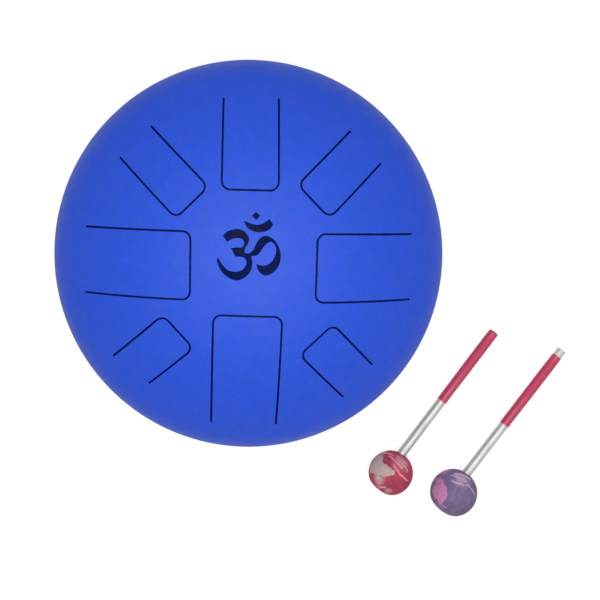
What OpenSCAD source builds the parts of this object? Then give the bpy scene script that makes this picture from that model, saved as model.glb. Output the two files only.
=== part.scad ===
// Steel tongue drum: two pressed shells welded at the rim, eight tongues cut in the upper one,
// three rubber feet, and two mallets that lie beside the drum.
// Millimetres. The origin is on the floor, on the drum's axis. +Y is away from the player.

/* [Shells] */
// Diameter of the drum, over the shells
drum_d = 254; // [230:1:320]
// Thickness of the sheet steel
sheet_t = 1.5; // [1:0.1:2.5]
// Height of the upper shell above the weld
top_h = 76; // [66:1:90]
// Radius of the upper shell's shoulder
top_shoulder_r = 42; // [30:1:48]
// Height of the lower shell below the weld
bottom_h = 64; // [56:1:80]
// Radius of the lower shell's shoulder
bottom_shoulder_r = 40; // [25:1:46]
// Height of the straight band beside the weld, on each shell
band_h = 2; // [1.5:0.5:6]
// Gap between the floor and the lowest point of the lower shell's curve
floor_gap = 6; // [4:0.5:12]

/* [Weld] */
// Depth of the bevel along the edge of each shell
bevel = 0.7; // [0.4:0.1:0.9]
// How far the bead of weld stands out of the shells
bead_h = 0.4; // [0.2:0.1:0.6]

/* [Tongues] */
// Width of the slit round each tongue
slit_w = 1.4; // [0.8:0.1:1.8]
// Radius of the slit's corners at a tongue's tip, along the middle of the slit
corner_r = 5; // [3:0.5:8]
// Gap that parts a tongue from the shell at its root, where the steel bends
root_gap = 0.08; // [0.05:0.01:0.15]

/* [Sound hole] */
// Width of the sound hole's figure
figure_w = 37.5; // [30:0.5:42]
// Place of the figure's middle, to the right of the drum's axis
figure_x = -2.5; // [-6:0.5:6]
// Place of the figure's middle, beyond the drum's axis
figure_y = 12.5; // [8:0.5:16]

/* [Feet] */
// Diameter of the circle that the feet stand on
foot_circle_d = 130; // [112:1:150]
// Diameter of a foot at the top of its taper
foot_d = 22; // [19:0.5:28]
// How much narrower a foot is at the floor
foot_taper = 4; // [0:0.5:5]
// Chamfer round a foot's lower edge
foot_chamfer = 1; // [0.5:0.1:1.5]
// Diameter of a foot's screw
screw_d = 4; // [3:0.1:4.5]
// Length of a foot's screw under its head
screw_l = 20; // [18:0.5:26]
// Length of the screw's point
screw_tip_l = 3; // [1:0.5:4]
// Diameter of the screw's head
head_d = 7.6; // [6.5:0.1:8]
// Height of the screw's head
head_h = 2.4; // [1.5:0.1:3]
// Gap between the screw's head and the floor
head_gap = 1.8; // [1:0.1:3]
// Diameter of the washer
washer_d = 9; // [8:0.1:10]
// Thickness of the washer
washer_t = 0.8; // [0.5:0.1:1.2]
// Clearance round the washer in the foot's recess
recess_gap = 0.3; // [0.1:0.1:0.6]

/* [Mallets] */
// Outer diameter of a mallet's tube
tube_d = 7; // [5:0.5:9]
// Wall of the tube
tube_wall = 1; // [0.6:0.1:1.5]
// How far the tube goes into the ball
socket_l = 18; // [10:1:22]
// Length of the sleeve round the grip
sleeve_l = 65.5; // [50:0.5:80]
// Wall of the sleeve
sleeve_wall = 0.3; // [0.2:0.1:1]
// How much the far end of a ball is flattened
nose_cut = 1; // [0.5:0.1:2]
// Radius of the ball's flattened end
nose_r = 26; // [22:1:40]

/* [Mallet 1] */
// Diameter of mallet 1's ball
ball_1_d = 33; // [27:0.5:38]
// Length of mallet 1, from the middle of its ball to the tube's end
mallet_1_l = 130.5; // [115:0.5:160]
// Bare length of mallet 1's tube behind its sleeve
bare_1_l = 0; // [0:0.5:10]
// How far mallet 1's tube sits to the left of its ball's middle
tube_1_off = 2.2; // [0:0.1:3]
// Place of mallet 1's ball to the right of the drum's axis
mallet_1_x = 109; // [100:0.5:125]
// Place of mallet 1's ball beyond the drum's axis
mallet_1_y = -163; // [-200:0.5:-155]
// Turn of mallet 1 from the right, in degrees
mallet_1_turn = 53.4; // [45:0.1:65]

/* [Mallet 2] */
// Diameter of mallet 2's ball
ball_2_d = 35; // [27:0.5:38]
// Length of mallet 2, from the middle of its ball to the tube's end
mallet_2_l = 134.5; // [115:0.5:160]
// Bare length of mallet 2's tube behind its sleeve
bare_2_l = 6; // [0:0.5:10]
// How far mallet 2's tube sits to the left of its ball's middle
tube_2_off = 1.2; // [0:0.1:3]
// Place of mallet 2's ball to the right of the drum's axis
mallet_2_x = 157; // [150:0.5:175]
// Place of mallet 2's ball beyond the drum's axis
mallet_2_y = -177.5; // [-200:0.5:-165]
// Turn of mallet 2 from the right, in degrees
mallet_2_turn = 52.6; // [45:0.1:65]

/* [Hidden] */
$fn = 96;
// One overrun serves every cut
over = sheet_t;

drum_r = drum_d / 2;
weld_z = floor_gap + bottom_h;

// Tongues from the lowest note to the highest: the direction of each from the drum's axis, in degrees
tongue_turns = [269.6, 180.3, 359.9, 90.2, 135.6, 45.6, 314.5, 223];
// Width of each tongue between the middles of its slit's legs, as a share of the drum's radius
tongue_width_shares = [0.322, 0.318, 0.323, 0.263, 0.21, 0.214, 0.217, 0.214];
// Distance of the slit's middle at each tip, as a share of the drum's radius
tongue_tip_shares = [0.229, 0.289, 0.298, 0.355, 0.407, 0.415, 0.465, 0.468];
// Distance of each root at the ends of the slit's left and right legs, as shares of the drum's radius
tongue_root_shares = [
    [0.808, 0.802], [0.804, 0.8], [0.778, 0.784], [0.784, 0.788],
    [0.799, 0.803], [0.785, 0.785], [0.777, 0.805], [0.77, 0.812],
];
// How far each tongue lies to the left of its direction, as a share of the drum's radius
tongue_side_shares = [-0.016, 0, 0, 0.019, -0.006, 0.019, -0.019, 0];

// The figure's outlines, as shares of its width from its middle, to the right and up.
// Each stretch runs from one corner to the next, and a smooth curve goes through its points.
stroke_shares = [
    [[-0.415, 0.155], [-0.34, 0.225], [-0.21, 0.265], [-0.095, 0.245], [-0.02, 0.165], [0, 0.1],
        [-0.02, 0.03], [-0.055, -0.025], [-0.07, -0.09]],
    [[-0.07, -0.09], [-0.035, -0.11], [0.02, -0.095], [0.07, -0.035], [0.11, 0.055], [0.165, 0.13],
        [0.235, 0.17], [0.305, 0.16], [0.385, 0.115], [0.45, 0.03], [0.49, -0.075], [0.5, -0.16],
        [0.48, -0.27], [0.425, -0.365], [0.345, -0.43], [0.265, -0.45], [0.205, -0.43], [0.155, -0.38],
        [0.13, -0.335], [0.115, -0.265]],
    [[0.115, -0.265], [0.165, -0.285], [0.225, -0.295], [0.305, -0.27], [0.37, -0.21], [0.41, -0.12],
        [0.42, -0.035], [0.395, 0.04], [0.345, 0.08]],
    [[0.345, 0.08], [0.285, 0.055], [0.235, 0.005], [0.195, -0.055], [0.155, -0.115], [0.11, -0.145],
        [0.04, -0.15]],
    [[0.04, -0.15], [0.055, -0.23], [0.055, -0.31], [0.03, -0.395], [-0.035, -0.475], [-0.13, -0.53],
        [-0.2, -0.54], [-0.285, -0.515], [-0.365, -0.465], [-0.43, -0.395], [-0.475, -0.31],
        [-0.5, -0.215], [-0.475, -0.19]],
    [[-0.475, -0.19], [-0.445, -0.24], [-0.405, -0.3], [-0.34, -0.365], [-0.265, -0.395],
        [-0.17, -0.395], [-0.095, -0.365], [-0.05, -0.3], [-0.04, -0.24], [-0.065, -0.19],
        [-0.125, -0.165], [-0.21, -0.17]],
    [[-0.21, -0.17], [-0.255, -0.09], [-0.285, -0.035]],
    [[-0.285, -0.035], [-0.185, -0.02], [-0.12, -0.02], [-0.08, 0.035], [-0.09, 0.085], [-0.13, 0.115],
        [-0.21, 0.12], [-0.285, 0.095], [-0.34, 0.055]],
    [[-0.34, 0.055], [-0.415, 0.155]],
];
crescent_shares = [
    [[-0.085, 0.39], [-0.045, 0.305], [0.03, 0.25], [0.135, 0.225], [0.225, 0.235], [0.315, 0.275],
        [0.365, 0.345]],
    [[0.365, 0.345], [0.305, 0.43]],
    [[0.305, 0.43], [0.265, 0.395], [0.19, 0.35], [0.11, 0.335], [0.03, 0.345], [-0.085, 0.39]],
];
dot_shares = [
    [[0.095, 0.54], [0.165, 0.475]],
    [[0.165, 0.475], [0.105, 0.405]],
    [[0.105, 0.405], [0.03, 0.47]],
    [[0.03, 0.47], [0.095, 0.54]],
];
// Pieces that a curve has between two of its points
curve_steps = 3;

// Each mallet: its ball's place and diameter, its turn, its length, its bare end and its tube's offset
mallets = [
    [mallet_1_x, mallet_1_y, ball_1_d, mallet_1_turn, mallet_1_l, bare_1_l, tube_1_off],
    [mallet_2_x, mallet_2_y, ball_2_d, mallet_2_turn, mallet_2_l, bare_2_l, tube_2_off],
];
sleeve_d = tube_d + 2 * sleeve_wall;

// Radius of the crown of a dome of radius r and height h whose shoulder has radius s
function crown_r(r, h, s) = (h * h + (r - s) * (r - s) - s * s) / (2 * (h - s));

bottom_crown_r = crown_r(drum_r, bottom_h - band_h, bottom_shoulder_r);

// Height of the lower shell's crown above its lowest point, at distance d from the axis
function bottom_rise(d) = bottom_crown_r - sqrt(bottom_crown_r * bottom_crown_r - d * d);

// Half of a dome's section, from its axis at x = 0, with its rim at y = 0 and its top at y = h.
// The shoulder of radius s runs smoothly into the crown, and the band goes down past the rim by below.
module dome_section(r, h, s, below = 0) {
    crown = crown_r(r, h - band_h, s);
    shoulder = [r - s, band_h];
    lean = shoulder - [0, h - crown];
    difference() {
        intersection() {
            translate([0, h - crown]) circle(crown);
            translate([0, -below]) square([r, h + over + below]);
        }
        difference() {
            polygon([
                shoulder,
                [r + over, band_h],
                [r + over, h + over],
                shoulder + lean * (h + over - band_h) / lean.y,
            ]);
            translate(shoulder) circle(s);
        }
    }
}

// One shell standing on its rim, with the bevel for the weld along its edge
module shell(h, s) {
    rotate_extrude() difference() {
        dome_section(drum_r, h, s);
        dome_section(drum_r - sheet_t, h - sheet_t, s - sheet_t, over);
        polygon([
            [drum_r - bevel - over, -over],
            [drum_r + over, -over],
            [drum_r + over, bevel + over],
        ]);
    }
}

module upper_sheet() {
    translate([0, 0, weld_z]) shell(top_h, top_shoulder_r);
}

// Places something on a tongue: x runs out from the drum's axis and y across
module along_tongue(k) {
    rotate(tongue_turns[k - 1]) translate([0, tongue_side_shares[k - 1] * drum_r]) children();
}

// A tongue's outline, from its tip to its root plus longer, widened by grow from the slit's middle.
// The root runs straight from the end of the slit's left leg to the end of its right one.
module tongue_outline(k, grow, longer = 0) {
    slit_half = tongue_width_shares[k - 1] * drum_r / 2;
    half = slit_half + grow;
    tip = tongue_tip_shares[k - 1] * drum_r - grow;
    ends = tongue_root_shares[k - 1] * drum_r;
    root = (ends[0] + ends[1]) / 2 + longer;
    lean = (ends[0] - ends[1]) / 2 * half / slit_half;
    r = corner_r + grow;
    along_tongue(k) {
        polygon([[tip + r, -half], [root - lean, -half], [root + lean, half], [tip + r, half]]);
        translate([tip, r - half]) square([r, 2 * (half - r)]);
        for (side = [-1, 1]) translate([tip + r, side * (half - r)]) circle(r);
    }
}

// Points of a smooth curve through p, without its last point
function curve_points(p) = [
    for (i = [0 : len(p) - 2], step = [0 : curve_steps - 1])
        let (
            a = p[i],
            b = p[i + 1],
            into = i > 0 ? (b - p[i - 1]) / 2 : b - a,
            out = i < len(p) - 2 ? (p[i + 2] - a) / 2 : b - a,
            t = len(p) > 2 ? step / curve_steps : 0
        )
        if (len(p) > 2 || step == 0)
            a * (2 * t * t * t - 3 * t * t + 1) + into * (t * t * t - 2 * t * t + t)
            + b * (3 * t * t - 2 * t * t * t) + out * (t * t * t - t * t)
];

// A closed outline of the sound hole from its stretches
module cut_outline(stretches_shares) {
    polygon([for (stretch = stretches_shares) each curve_points(stretch) * figure_w]);
}

module sound_hole() {
    translate([figure_x, figure_y]) {
        cut_outline(stroke_shares);
        cut_outline(crescent_shares);
        cut_outline(dot_shares);
    }
}

module top_shell() {
    color("royalblue") difference() {
        upper_sheet();
        for (k = [1 : 8]) linear_extrude(weld_z + top_h + over) tongue_outline(k, slit_w / 2);
        linear_extrude(weld_z + top_h + over) sound_hole();
    }
}

module tongue(k) {
    color("royalblue") intersection() {
        upper_sheet();
        linear_extrude(weld_z + top_h + over) tongue_outline(k, -slit_w / 2, -root_gap);
    }
}

module bottom_shell() {
    color("royalblue") difference() {
        translate([0, 0, weld_z]) mirror([0, 0, 1]) shell(bottom_h, bottom_shoulder_r);
        at_feet() cylinder(h = weld_z, d = screw_d);
    }
}

// The bead fills the groove between the two bevels and stands a little out of the shells
module weld_seam() {
    bead_r = (bevel * bevel + bead_h * bead_h) / (2 * bead_h);
    color("royalblue") translate([0, 0, weld_z]) rotate_extrude() {
        polygon([[drum_r - bevel, 0], [drum_r, -bevel], [drum_r, bevel]]);
        intersection() {
            translate([drum_r + bead_h - bead_r, 0]) circle(bead_r);
            translate([drum_r, -bead_r]) square([bead_h + over, 2 * bead_r]);
        }
    }
}

module at_foot(k) {
    rotate(90 + 120 * k) translate([foot_circle_d / 2, 0]) children();
}

module at_feet() {
    for (k = [1 : 3]) at_foot(k) children();
}

// A rubber foot: its top follows the shell, and its screw sits in a recess clear of the floor
module foot(k) {
    floor_r = (foot_d - foot_taper) / 2;
    top_z = floor_gap + bottom_rise((foot_circle_d + foot_d) / 2) + over;
    seat_z = head_gap + head_h + washer_t;
    color("dimgray") difference() {
        at_foot(k) rotate_extrude() difference() {
            polygon([
                [0, 0],
                [floor_r - foot_chamfer, 0],
                [floor_r, foot_chamfer],
                [foot_d / 2, top_z],
                [0, top_z],
            ]);
            square([screw_d / 2, top_z + over]);
            translate([0, -over]) square([washer_d / 2 + recess_gap, seat_z + over]);
        }
        translate([0, 0, floor_gap + bottom_crown_r]) rotate([90, 0, 0]) sphere(bottom_crown_r, $fn = 240);
    }
}

// A foot's screw, with the underside of its domed head at z = 0 and its point up
module screw() {
    dome_r = (head_d * head_d / 4 + head_h * head_h / 4) / head_h;
    rotate_extrude() {
        intersection() {
            translate([0, -head_h]) square([head_d / 2, head_h]);
            translate([0, dome_r - head_h]) circle(dome_r);
        }
        polygon([[0, 0], [screw_d / 2, 0], [screw_d / 2, screw_l - screw_tip_l], [0, screw_l]]);
    }
}

module foot_screws() {
    color("silver") at_feet() translate([0, 0, head_gap + head_h]) screw();
}

module foot_washers() {
    color("silver") at_feet() translate([0, 0, head_gap + head_h]) difference() {
        cylinder(h = washer_t, d = washer_d);
        translate([0, 0, -over]) cylinder(h = washer_t + 2 * over, d = screw_d);
    }
}

// Tilt that lets a ball and a round end both touch the floor, where the end is d wide and at l
function rest_tilt(ball_d, l, d) = asin(ball_d / 2 / norm([l, d / 2])) - atan(d / 2 / l);

// Places something on a mallet: z runs from the middle of its ball along its tube
module along_mallet(mallet) {
    ball_d = mallet[2];
    l = mallet[4];
    tilt = min(rest_tilt(ball_d, l, tube_d), rest_tilt(ball_d, l - mallet[5], sleeve_d));
    translate([mallet[0], mallet[1], ball_d / 2]) rotate([0, 90 + tilt, mallet[3]]) children();
}

// Places something on a mallet's tube, at distance z along it from the middle of the ball
module on_tube(mallet, z) {
    along_mallet(mallet) translate([0, mallet[6], z]) children();
}

// Distance of the tube's inner end from the middle of its ball
function socket_z(mallet) = mallet[2] / 2 - socket_l;

module mallet_tube(mallet) {
    l = mallet[4] - socket_z(mallet);
    color("silver") on_tube(mallet, socket_z(mallet)) difference() {
        cylinder(h = l, d = tube_d);
        translate([0, 0, -over]) cylinder(h = l + 2 * over, d = tube_d - 2 * tube_wall);
    }
}

module mallet_sleeve(mallet) {
    color("indianred") on_tube(mallet, mallet[4] - mallet[5] - sleeve_l) difference() {
        cylinder(h = sleeve_l, d = sleeve_d);
        translate([0, 0, -over]) cylinder(h = sleeve_l + 2 * over, d = tube_d);
    }
}

// A ball with its far end a little flattened and a blind socket for the tube
module mallet_ball(mallet, tint) {
    r = mallet[2] / 2;
    color(tint) difference() {
        along_mallet(mallet) rotate_extrude() intersection() {
            circle(r);
            translate([0, nose_r + nose_cut - r]) circle(nose_r);
            translate([0, -r]) square([r, 2 * r]);
        }
        on_tube(mallet, socket_z(mallet)) cylinder(h = 2 * r, d = tube_d);
    }
}

top_shell();
tongue(1);  // tongue_1
tongue(2);  // tongue_2
tongue(3);  // tongue_3
tongue(4);  // tongue_4
tongue(5);  // tongue_5
tongue(6);  // tongue_6
tongue(7);  // tongue_7
tongue(8);  // tongue_8
bottom_shell();
weld_seam();
foot(1);  // foot_1
foot(2);  // foot_2
foot(3);  // foot_3
foot_screws();
foot_washers();
mallet_tube(mallets[0]);  // mallet_1_tube
mallet_sleeve(mallets[0]);  // mallet_1_sleeve
mallet_ball(mallets[0], "palevioletred");  // mallet_1_ball
mallet_tube(mallets[1]);  // mallet_2_tube
mallet_sleeve(mallets[1]);  // mallet_2_sleeve
mallet_ball(mallets[1], "mediumpurple");  // mallet_2_ball
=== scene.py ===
"""Steel tongue drum with two ball mallets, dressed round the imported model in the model's own frame.

Metres. The origin is on the floor, on the drum's axis. +Y is away from the player.
"""

import math
from collections import namedtuple
from functools import partial

import bmesh
import bpy
import numpy as np
from bpy.props import FloatProperty, FloatVectorProperty, IntProperty, PointerProperty
from mathutils import Color, Matrix, Vector, kdtree
from mathutils.geometry import delaunay_2d_cdt


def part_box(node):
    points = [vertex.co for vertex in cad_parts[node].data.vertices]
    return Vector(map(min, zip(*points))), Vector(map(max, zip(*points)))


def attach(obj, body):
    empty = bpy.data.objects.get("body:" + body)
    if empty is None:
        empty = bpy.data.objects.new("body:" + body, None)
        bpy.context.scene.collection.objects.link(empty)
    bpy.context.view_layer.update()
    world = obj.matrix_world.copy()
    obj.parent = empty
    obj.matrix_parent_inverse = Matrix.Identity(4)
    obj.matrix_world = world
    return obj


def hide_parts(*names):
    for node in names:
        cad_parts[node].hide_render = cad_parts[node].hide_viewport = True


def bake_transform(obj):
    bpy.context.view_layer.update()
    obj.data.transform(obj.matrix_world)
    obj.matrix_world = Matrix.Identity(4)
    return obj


bl_info = {
    "name": "Steel Tongue Drum",
    "version": (1, 0, 0),
    "blender": (4, 5, 0),
    "location": "View3D > Sidebar > Drum",
    "description": "Makes a powder-coated steel tongue drum and its two mallets",
    "category": "Add Mesh",
}

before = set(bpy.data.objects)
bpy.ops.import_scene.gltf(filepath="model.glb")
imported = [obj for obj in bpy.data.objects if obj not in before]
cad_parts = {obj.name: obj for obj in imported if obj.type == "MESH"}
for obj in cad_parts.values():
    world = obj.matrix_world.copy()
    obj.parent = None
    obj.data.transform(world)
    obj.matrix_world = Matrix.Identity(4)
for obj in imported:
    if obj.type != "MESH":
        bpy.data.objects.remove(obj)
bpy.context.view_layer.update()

MM = 0.001
QUARTER = math.pi / 2

# The shells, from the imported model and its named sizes
SHEET = 1.5 * MM
BAND = 2 * MM
BEVEL = 0.7 * MM
BEAD = 0.4 * MM
TOP_SHOULDER = 42 * MM
BOTTOM_SHOULDER = 40 * MM
DRUM_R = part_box("top_shell")[1].x
WELD_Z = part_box("top_shell")[0].z
TOP_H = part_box("top_shell")[1].z - WELD_Z
BOTTOM_H = WELD_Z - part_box("bottom_shell")[0].z

# The tongues from the lowest note to the highest, as in the model, in shares of the drum's radius. The coat
# on the cut faces narrows the slits and the sound hole
CUT_COAT = 0.1 * MM
SLIT = 1.4 * MM - 2 * CUT_COAT
CORNER_R = 5 * MM
TONGUE_TURNS = (269.6, 180.3, 359.9, 90.2, 135.6, 45.6, 314.5, 223)
TONGUES = range(len(TONGUE_TURNS))
TONGUE_WIDTH_SHARES = (0.322, 0.318, 0.323, 0.263, 0.21, 0.214, 0.217, 0.214)
TONGUE_TIP_SHARES = (0.229, 0.289, 0.298, 0.355, 0.407, 0.415, 0.465, 0.468)
# At the ends of the slit's left and right legs
TONGUE_ROOT_SHARES = (
    (0.808, 0.802), (0.804, 0.8), (0.778, 0.784), (0.784, 0.788),
    (0.799, 0.803), (0.785, 0.785), (0.777, 0.805), (0.77, 0.812),
)
TONGUE_SIDE_SHARES = (-0.016, 0, 0, 0.019, -0.006, 0.019, -0.019, 0)

# The sound hole's figure, as in the model, in thousandths of its width: a smooth curve through each stretch,
# which starts where the one before it ends
FIGURE_W = 37.5 * MM
FIGURE_AT = (-2.5 * MM, 12.5 * MM)
FIGURE = (
    (
        ((-340, 225), (-210, 265), (-95, 245), (-20, 165), (0, 100), (-20, 30), (-55, -25), (-70, -90)),
        ((-35, -110), (20, -95), (70, -35), (110, 55), (165, 130), (235, 170), (305, 160), (385, 115),
         (450, 30), (490, -75), (500, -160), (480, -270), (425, -365), (345, -430), (265, -450),
         (205, -430), (155, -380), (130, -335), (115, -265)),
        ((165, -285), (225, -295), (305, -270), (370, -210), (410, -120), (420, -35), (395, 40),
         (345, 80)),
        ((285, 55), (235, 5), (195, -55), (155, -115), (110, -145), (40, -150)),
        ((55, -230), (55, -310), (30, -395), (-35, -475), (-130, -530), (-200, -540), (-285, -515),
         (-365, -465), (-430, -395), (-475, -310), (-500, -215), (-475, -190)),
        ((-445, -240), (-405, -300), (-340, -365), (-265, -395), (-170, -395), (-95, -365), (-50, -300),
         (-40, -240), (-65, -190), (-125, -165), (-210, -170)),
        ((-255, -90), (-285, -35)),
        ((-185, -20), (-120, -20), (-80, 35), (-90, 85), (-130, 115), (-210, 120), (-285, 95),
         (-340, 55)),
        ((-415, 155),),
    ),
    (
        ((-45, 305), (30, 250), (135, 225), (225, 235), (315, 275), (365, 345)),
        ((305, 430),),
        ((265, 395), (190, 350), (110, 335), (30, 345), (-85, 390)),
    ),
    (
        ((165, 475),),
        ((105, 405),),
        ((30, 470),),
        ((95, 540),),
    ),
)
CURVE_STEPS = 3

# The feet and their screws
FOOT_COUNT = 3
FOOT_CIRCLE_R = 65 * MM
FOOT_R = 11 * MM
FOOT_FLOOR_R = 9 * MM
FOOT_ROUND = 1 * MM
SCREW_R = 2 * MM
SCREW_L = 20 * MM
SCREW_TIP_L = 3 * MM
HEAD_R = 3.8 * MM
HEAD_H = 2.4 * MM
HEAD_GAP = 1.8 * MM
WASHER_R = 4.5 * MM
WASHER_T = 0.8 * MM
RECESS_GAP = 0.3 * MM
SCREW_PITCH = 1.4 * MM
THREAD_DEPTH = 0.45 * MM
# The driver's cross: half of its width and length at the head's face, and its depth
CROSS_W = 0.4 * MM
CROSS_L = 2.2 * MM
CROSS_DEPTH = 1.5 * MM

# The mallets: place and diameter of the ball, turn, length from the ball's middle, bare end of the tube, and
# how far the tube sits to the left of the ball's middle
Mallet = namedtuple("Mallet", "x y ball_d turn reach bare beside")
MALLETS = (
    Mallet(109 * MM, -163 * MM, 33 * MM, 53.4, 130.5 * MM, 0, 2.2 * MM),
    Mallet(157 * MM, -177.5 * MM, 35 * MM, 52.6, 134.5 * MM, 6 * MM, 1.2 * MM),
)
TUBE_R = 3.5 * MM
TUBE_WALL = 1 * MM
SOCKET_L = 18 * MM
SLEEVE_L = 65.5 * MM
SLEEVE_WALL = 0.3 * MM
NOSE_CUT = 1 * MM
NOSE_R = 26 * MM
TAIL_ROUND = 1.3 * MM
TAIL_DRAW = 0.9 * MM
# Shares of the tail's round at which a tube has points
TAIL_ROWS = np.array((0.75, 0.5, 0.3, 0.15))
BARE_SOFT = 0.2 * MM
COVERED_SOFT = 0.05 * MM
SLEEVE_SOFT = 0.1 * MM
MOUTH_SOFT = 0.35 * MM
NOSE_SOFT = 0.3 * MM
# The balls: material, slot, and colours of the rubber, its dark parts, the patches and the streaks. Then, in
# the ball's own millimetres and on its upper side, patches as spheres of (middle, radius, softness), strands
# as arcs of (three places, half width), and the place round which the fine streaks are thick
BALLS = (
    (
        "Marbled rubber, rose", "ball_rose", ("D4435F", "983853", "D2BEB6", "F8B0C0"),
        (
            ((-10, 13, -2.3), 5.6, 0.4), ((-3.9, 15.3, -4.8), 4.8, 0.4), ((-14.8, 7.4, -0.1), 3.5, 0.4),
            ((-15.8, 4.5, 1.4), 2, 0.4), ((-5.2, 15.6, 1.9), 4.6, 0.5), ((2.5, 16.1, 2.4), 4.2, 0.8),
            ((-12.7, 10.6, 0.8), 2.8, 0.4), ((-2, 14.4, 7.8), 2.2, 1.2), ((-14.1, 8, -3), 2.2, 0.5),
            ((-11.6, 8.6, -8), 3.8, 2.4), ((-11.7, -2.9, -11.3), 1.8, 2), ((-6.9, 2.3, -14.8), 1.2, 1),
        ),
        (
            (((-8.6, 10.2, 9.7), (-12.2, 6.2, 9.2), (-14.4, -0.2, 8.1)), 0.45),
            (((0.6, 15.3, 6.2), (-3.1, 13.2, 9.5), (-7.5, 8.6, 11.9)), 0.55),
            (((-8.9, 6, 12.5), (-11, 3.3, 11.9), (-12.4, -0.5, 10.9)), 0.4),
            (((-15.5, 2.5, 5.2), (-15.9, -2.1, 4), (-12.4, -10.2, 3.7)), 0.45),
            (((-10.2, 6.7, -11.1), (-11.1, 5.5, -10.9), (-12.3, 4.8, -9.9)), 0.35),
            (((-8.5, 4.9, -13.2), (-10.9, 2.4, -12.1), (-13.1, 0.7, -10)), 0.6),
            (((-8.2, 5, 13.4), (-9.6, 2.1, 13.3), (-11.2, -2.6, 11.8)), 0.3),
            (((-12.6, -1.2, 10.6), (-12.6, -3.6, 10), (-13.1, -5.3, 8.5)), 0.5),
        ),
        (-12, 1.8, 11.2),
    ),
    (
        "Marbled rubber, violet", "ball_violet", ("8A76A6", "6A5C80", "DE8EBC", "E6C2DE"),
        (
            ((-10.5, 13.4, -4), 4.9, 0.4), ((-12, 11.1, -6.3), 4.7, 0.4), ((-11.1, 8.8, -10.3), 3.1, 0.4),
            ((-10.3, 6.6, -12.5), 1.6, 0.5), ((-5.7, 15.1, -6.7), 4, 0.5), ((-4.7, 16.8, -0.1), 2.8, 0.7),
            ((-8.4, 15.4, 0.6), 1.9, 0.6), ((-7.3, 12.6, -9.7), 3, 0.5),
        ),
        (
            (((-12.4, 10.5, 6.6), (-14, 7.5, 7.4), (-14.4, 3.3, 9.4)), 0.5),
            (((-7.9, 10.1, 11.9), (-8.4, 5.6, 14.3), (-8.5, -0.9, 15.3)), 1.1),
            (((-9.9, 9.8, 10.6), (-10.9, 7.6, 11.4), (-12.5, 1.5, 12.2)), 0.4),
            (((-13.7, 0.6, 10.8), (-13.6, -3.9, 10.3), (-12.5, -8.7, 8.7)), 0.3),
            (((-11.9, 4.9, -11.9), (-12.1, 3.4, -12.2), (-12.6, 2.4, -11.9)), 0.35),
        ),
        (-11.4, 6.1, 11.8),
    ),
)

# The weld's ripples: how much lower each gets along its length, and how far it lags at its edges, in ripples
RIPPLE_DROP = 0.45
RIPPLE_LAG = 0.55

# Points closer than the first are merged, and the others are the slack in telling where a point lies
MERGE = 0.001 * MM
NEAR = 0.01 * MM
SLACK = 0.1 * MM

# The stage: half of the floor's side, and the lamp's width, power, place and aim
FLOOR_HALF = 30.0
LAMP_D = 0.84
LAMP_POWER = 4.3
LAMP_AT = (0, 0, 0.78)
LAMP_AIM = (0, 0, 0.1)
# The camera's place, direction and upward side, its focal length in shares of the picture's width, and the
# sensor's width
CAMERA_AT = (-0.0125, 0.0548, 0.7175)
CAMERA_ALONG = (0.0704, -0.1266, -0.9894)
CAMERA_UP = (-0.0217, 0.9915, -0.1284)
CAMERA_FOCUS = 980.3 / 600
SENSOR_W = 36

VECTOR = "ShaderNodeVectorMath"
NOISE = "ShaderNodeTexNoise"
RANGE = "ShaderNodeMapRange"
MIX = "ShaderNodeMix"
BUMP = "ShaderNodeBump"


def linear(code):
    """Linear colour of an sRGB hex value."""
    parts = [int(code[i : i + 2], 16) / 255 for i in (0, 2, 4)]
    return tuple(c / 12.92 if c <= 0.04045 else ((c + 0.055) / 1.055) ** 2.4 for c in parts)


def colour(name, description, code):
    """A colour that a user can change."""
    return FloatVectorProperty(
        name=name, description=description, subtype="COLOR", size=3, min=0, max=1, default=linear(code)
    )


def length(name, description, default, low, high):
    """A length that a user can change, in millimetres here and in metres for the user."""
    return FloatProperty(
        name=name, description=description, subtype="DISTANCE", unit="LENGTH",
        default=default * MM, min=low * MM, max=high * MM,
    )


class DrumSettings(bpy.types.PropertyGroup):
    """Finish of the drum."""

    coat: colour("Coat", "Colour of the powder coat", "0A4CD9")
    inside: colour("Inside", "Colour of the bare steel inside the drum", "B3ACA6")
    cut_edge: length("Cut edge", "Radius of the coat over the cut edges", 0.11, 0.05, 0.4)
    mesh_step: length("Mesh step", "Distance between the points of the pressed sheets", 2.4, 1, 6)
    ripple: length("Weld ripple", "Distance between the ripples of the weld", 1.6, 0.8, 4)
    rim_points: IntProperty(
        name="Rim points", description="Points round the rim of each shell", default=288, min=64, max=720
    )


class MalletSettings(bpy.types.PropertyGroup):
    """Finish of the mallets."""

    sleeve: colour("Sleeve", "Colour of the grip's sleeve", "D03A60")
    tube: colour("Tube", "Colour of the aluminium tube", "C8C6C2")
    around: IntProperty(
        name="Steps around", description="Faces round each turned piece", default=64, min=24, max=128
    )


def fill(tree, node, *values):
    """Sets or links a node's inputs, in order, or by name where the values are a dict."""
    plain = [v for v in values if not isinstance(v, dict)]
    pairs = list(zip([s for s in node.inputs if s.enabled], plain))
    pairs += [(node.inputs[k], v) for part in values if isinstance(part, dict) for k, v in part.items()]
    for socket, value in pairs:
        for source in value if isinstance(value, list) else [value]:
            if isinstance(source, bpy.types.Node):
                source = next(s for s in source.outputs if s.enabled)
            if isinstance(source, bpy.types.NodeSocket):
                tree.links.new(source, socket)
            elif source is not None:
                socket.default_value = (*source, 1)[:4] if socket.type == "RGBA" else source
    return node


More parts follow.
